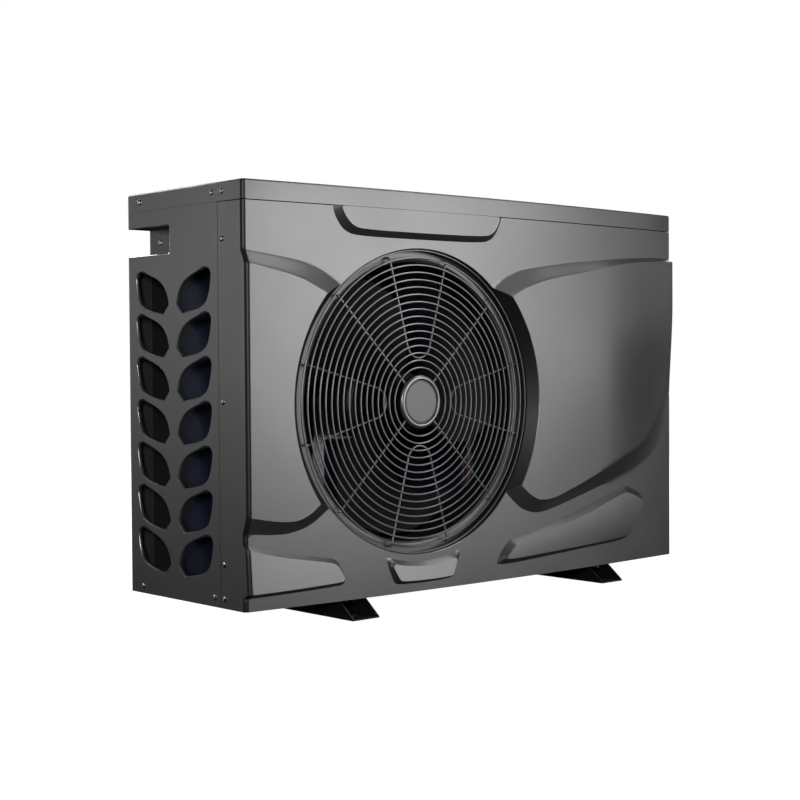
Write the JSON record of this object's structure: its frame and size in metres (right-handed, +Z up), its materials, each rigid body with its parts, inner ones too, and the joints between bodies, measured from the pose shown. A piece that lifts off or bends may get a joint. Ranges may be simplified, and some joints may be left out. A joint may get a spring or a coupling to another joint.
{
  "type": "pool heat pump",
  "caption": "Low side-discharge pool heat pump cabinet with a bowed front, round wire fan guard, leaf-shaped side vents, channel feet and water unions.",
  "frame": {"origin": "on the floor, midway between the four foot slots", "axes": "+X along the front from left to right, +Y to the rear, +Z up; the front faces -Y"},
  "size_m": [1.0682, 0.375, 0.673],
  "materials": {
    "front_paint": "satin gunmetal with a fine grain",
    "cabinet_paint": "satin charcoal powder coat",
    "dark_sheet": "dark powder coat",
    "black_sheet": "black powder coat",
    "galvanised": "galvanised sheet",
    "foot_black": "black powder coat",
    "screw_steel": "bright zinc plate",
    "guard_wire": "grey dipped wire",
    "black_plastic": "black moulding",
    "hub_chrome": "bright satin metal",
    "badge_grey": "plain grey disc",
    "bell_grey": "light grey sheet",
    "motor_grey": "painted motor shell",
    "coil_blue": "blue water-shedding fin coat",
    "copper": "drawn copper tube",
    "compressor_black": "black gloss paint",
    "rubber_black": "black rubber",
    "water_plastic": "dark grey PVC",
    "nut_plastic": "black ribbed PVC",
    "titanium": "drawn titanium tube",
    "valve_brass": "machined brass",
    "board_green": "circuit board",
    "needle_black": "black needle",
    "gauge_glass": "clear lens"
  },
  "bodies": {
    "cabinet": {"access_cover": "cabinet_paint", "accumulator": "compressor_black", "base_pan": "galvanised", "bell_mouth": "bell_grey", "cabinet_screws": "screw_steel", "cable_glands": "black_plastic", "compressor": "compressor_black", "compressor_grommets": "rubber_black", "compressor_studs": "screw_steel", "control_board": "board_green", "discharge_pipe": "copper", "drain_spout": "black_plastic", "electrical_box": "galvanised", "electrical_lid": "galvanised", "evaporator_end_plates": "galvanised", "evaporator_fins": "coil_blue", "evaporator_gas_pipe": "copper", "exchanger_gas_pipe": "copper", "exchanger_shell": "water_plastic", "expansion_valve": "valve_brass", "fan_motor": "motor_grey", "foot_bolts": "screw_steel", "foot_left": "foot_black", "foot_right": "foot_black", "four_way_valve": "valve_brass", "front_panel": "front_paint", "gauge_case": "hub_chrome", "gauge_lens": "gauge_glass", "guard_hub_plate": "black_plastic", "guard_rings": "guard_wire", "guard_spokes": "guard_wire", "hub_badge": "badge_grey", "hub_ring": "hub_chrome", "inlet_pipe": "water_plastic", "inlet_tail": "water_plastic", "left_handle_recess": "dark_sheet", "left_side_panel": "cabinet_paint", "liquid_pipe": "copper", "motor_bolts": "screw_steel", "motor_bracket": "galvanised", "outlet_pipe": "water_plastic", "outlet_tail": "water_plastic", "partition": "galvanised", "rear_grille": "black_sheet", "rear_panel": "cabinet_paint", "return_bends": "copper", "right_handle_recess": "dark_sheet", "right_side_panel": "cabinet_paint", "suction_pipe": "copper", "terminal_cover": "black_plastic", "titanium_coil": "titanium", "top_cover": "cabinet_paint", "union_seals": "rubber_black", "valve_solenoid": "black_plastic"},
    "fan": {"fan_blade": "black_plastic", "fan_nut": "screw_steel", "fan_shaft": "screw_steel"},
    "inlet_union_nut": {"inlet_nut": "nut_plastic"},
    "outlet_union_nut": {"outlet_nut": "nut_plastic"},
    "needle": {"gauge_needle": "needle_black"}
  },
  "joints": [
    {"name": "fan_spin", "type": "hinge", "parent": "cabinet", "child": "fan", "pos_m": [-0.158, -0.105, 0.3355], "axis": [0, 1, 0], "continuous": true},
    {"name": "inlet_nut_turn", "type": "hinge", "parent": "cabinet", "child": "inlet_union_nut", "pos_m": [0.52, 0.075, 0.112], "axis": [1, 0, 0], "continuous": true},
    {"name": "outlet_nut_turn", "type": "hinge", "parent": "cabinet", "child": "outlet_union_nut", "pos_m": [0.52, 0.075, 0.412], "axis": [1, 0, 0], "continuous": true},
    {"name": "gauge_swing", "type": "hinge", "parent": "cabinet", "child": "needle", "pos_m": [0.497, -0.04, 0.34], "axis": [1, 0, 0], "range_deg": [-270, 0]}
  ]
}
